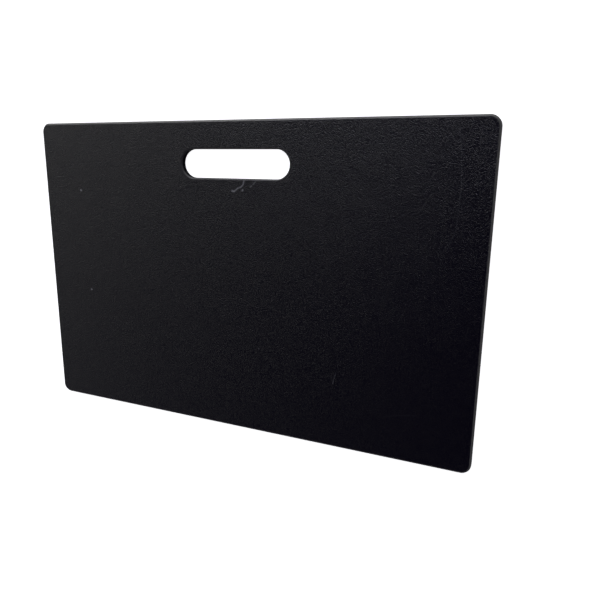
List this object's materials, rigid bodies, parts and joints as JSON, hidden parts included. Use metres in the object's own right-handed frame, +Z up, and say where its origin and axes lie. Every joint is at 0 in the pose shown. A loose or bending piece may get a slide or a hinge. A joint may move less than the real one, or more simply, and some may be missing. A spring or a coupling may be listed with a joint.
{
  "type": "mortar hawk board",
  "caption": "Flat oblong plastic board for carrying mortar, with rounded corners and a hand slot near one long edge.",
  "frame": {"origin": "centre of the underside", "axes": "+X along the long edges, +Y towards the hand slot, +Z up, out of the face that carries the mortar"},
  "size_m": [0.432, 0.281, 0.0063],
  "materials": {
    "board": "black, fine pebble grain"
  },
  "bodies": {
    "root": {"board": "board"}
  },
  "joints": []
}
